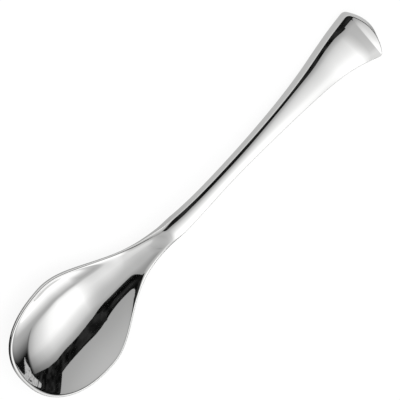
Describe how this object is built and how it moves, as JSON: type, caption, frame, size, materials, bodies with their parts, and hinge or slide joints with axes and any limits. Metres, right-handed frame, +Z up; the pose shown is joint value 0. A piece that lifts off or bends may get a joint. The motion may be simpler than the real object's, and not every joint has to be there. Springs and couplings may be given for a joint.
{
  "type": "bouillon spoon",
  "caption": "Polished steel bouillon spoon with a round, hollow bowl, a short neck and a heavy crowned handle that flares to a turned-up end.",
  "frame": {"origin": "bottom centre of the bounding box: the table's surface under the middle of the spoon's length", "axes": "+X from the bowl to the end of the handle, +Z up out of the bowl, and +Y to the left of someone who looks along +X"},
  "size_m": [0.165, 0.0398, 0.0109],
  "materials": {
    "steel": "mirror-polished stainless steel"
  },
  "bodies": {
    "root": {"bowl": "steel", "handle": "steel"}
  },
  "joints": []
}
